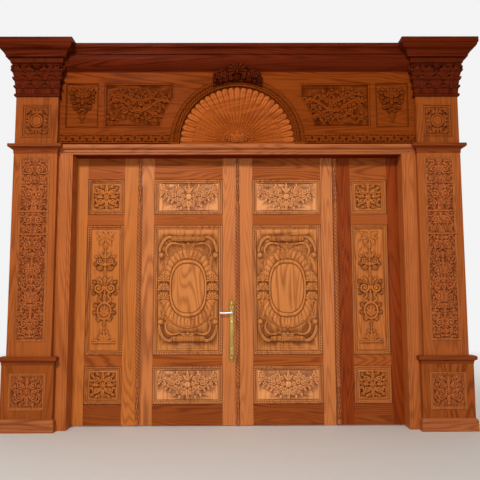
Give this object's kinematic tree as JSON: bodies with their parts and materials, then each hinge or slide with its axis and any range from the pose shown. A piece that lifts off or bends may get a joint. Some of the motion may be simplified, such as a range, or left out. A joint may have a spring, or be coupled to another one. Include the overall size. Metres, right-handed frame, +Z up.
{
  "type": "carved temple door",
  "caption": "Carved hardwood entrance door with folding panelled leaves in a frame with pilasters, capitals, a carved frieze and a fan arch over the head.",
  "frame": {"origin": "on the floor, under the middle of the whole part", "axes": "+X to the right seen from the street, +Y into the building, where the leaves open, +Z up"},
  "size_m": [4.428, 0.456, 3.55],
  "materials": {
    "door_wood": "satin varnish",
    "dark_wood": "satin varnish",
    "brass_plate": "polished",
    "lever_metal": "satin",
    "steel": "satin"
  },
  "bodies": {
    "frame": {"arch_band": "dark_wood", "bead_rows": "dark_wood", "capitals": "dark_wood", "carved_bands": "dark_wood", "casings": "door_wood", "centre_cornice": "dark_wood", "crown": "dark_wood", "fan": "door_wood", "frame_hinge_plates": "steel", "frieze": "door_wood", "frieze_panels": "door_wood", "head": "door_wood", "jamb_left": "door_wood", "jamb_right": "door_wood", "ledges": "dark_wood", "lintel_moulding": "dark_wood", "pedestal_caps": "dark_wood", "pedestals": "door_wood", "pilaster_cornices": "dark_wood", "pilaster_panels": "door_wood", "plinths": "dark_wood", "shafts": "door_wood", "upper_blocks": "door_wood"},
    "side_left": {"side_left_beads": "door_wood", "side_left_column": "door_wood", "side_left_hinge_plates": "steel", "side_left_panels": "door_wood", "side_left_rails": "door_wood", "side_left_stiles": "door_wood"},
    "side_right": {"side_right_beads": "door_wood", "side_right_column": "door_wood", "side_right_hinge_plates": "steel", "side_right_panels": "door_wood", "side_right_rails": "door_wood", "side_right_stiles": "door_wood"},
    "main_left": {"main_left_beads": "door_wood", "main_left_hinge_plates": "steel", "main_left_panels": "door_wood", "main_left_rails": "door_wood", "main_left_stiles": "door_wood", "lock_case": "steel", "outer_plate": "brass_plate", "inner_plate": "brass_plate"},
    "main_right": {"main_right_beads": "door_wood", "main_right_column": "door_wood", "main_right_hinge_plates": "steel", "main_right_panels": "door_wood", "main_right_rails": "door_wood", "main_right_stiles": "door_wood", "strike": "steel"},
    "lever": {"outer_lever": "lever_metal", "inner_lever": "lever_metal"},
    "latch": {"latch": "steel"},
    "deadbolt": {"deadbolt": "steel"},
    "thumb_turn": {"thumb_turn": "lever_metal"},
    "side_left_bolt": {"side_left_bolt": "steel"},
    "side_right_bolt": {"side_right_bolt": "steel"},
    "main_right_bolt": {"main_right_bolt": "steel"}
  },
  "joints": [
    {"name": "side_left_hinge", "type": "hinge", "parent": "frame", "child": "side_left", "pos_m": [-1.544, 0.1819, 1.25], "axis": [0, 0, 1], "range_deg": [0, 90]},
    {"name": "side_right_hinge", "type": "hinge", "parent": "frame", "child": "side_right", "pos_m": [1.544, 0.1819, 1.25], "axis": [0, 0, -1], "range_deg": [0, 90]},
    {"name": "main_left_hinge", "type": "hinge", "parent": "side_left", "child": "main_left", "pos_m": [-0.9055, 0.1819, 1.25], "axis": [0, 0, 1], "range_deg": [0, 120]},
    {"name": "main_right_hinge", "type": "hinge", "parent": "side_right", "child": "main_right", "pos_m": [0.9055, 0.1819, 1.25], "axis": [0, 0, -1], "range_deg": [0, 120]},
    {"name": "lever_turn", "type": "hinge", "parent": "main_left", "child": "lever", "pos_m": [-0.0575, 0.153, 1.028], "axis": [0, -1, 0], "range_deg": [0, 45], "stiffness_Nm_per_rad": 1.5, "springref_deg": -34.38},
    {"name": "latch_slide", "type": "slide", "parent": "main_left", "child": "latch", "axis": [-1, 0, 0], "range_m": [0, 0.0024]},
    {"name": "thumb_turn_turn", "type": "hinge", "parent": "main_left", "child": "thumb_turn", "pos_m": [-0.0575, 0.153, 0.95], "axis": [0, -1, 0], "range_deg": [0, 90]},
    {"name": "deadbolt_slide", "type": "slide", "parent": "main_left", "child": "deadbolt", "axis": [1, 0, 0], "range_m": [0, 0.014]},
    {"name": "side_left_bolt_slide", "type": "slide", "parent": "side_left", "child": "side_left_bolt", "axis": [0, 0, 1], "range_m": [0, 0.022]},
    {"name": "side_right_bolt_slide", "type": "slide", "parent": "side_right", "child": "side_right_bolt", "axis": [0, 0, 1], "range_m": [0, 0.022]},
    {"name": "main_right_bolt_slide", "type": "slide", "parent": "main_right", "child": "main_right_bolt", "axis": [0, 0, 1], "range_m": [0, 0.022]}
  ],
  "couplings": [
    {"joint": "latch_slide", "follows": "lever_turn", "m_per_rad": 0.0030557},
    {"joint": "thumb_turn_turn", "follows": "deadbolt_slide", "rad_per_m": 112.2}
  ]
}
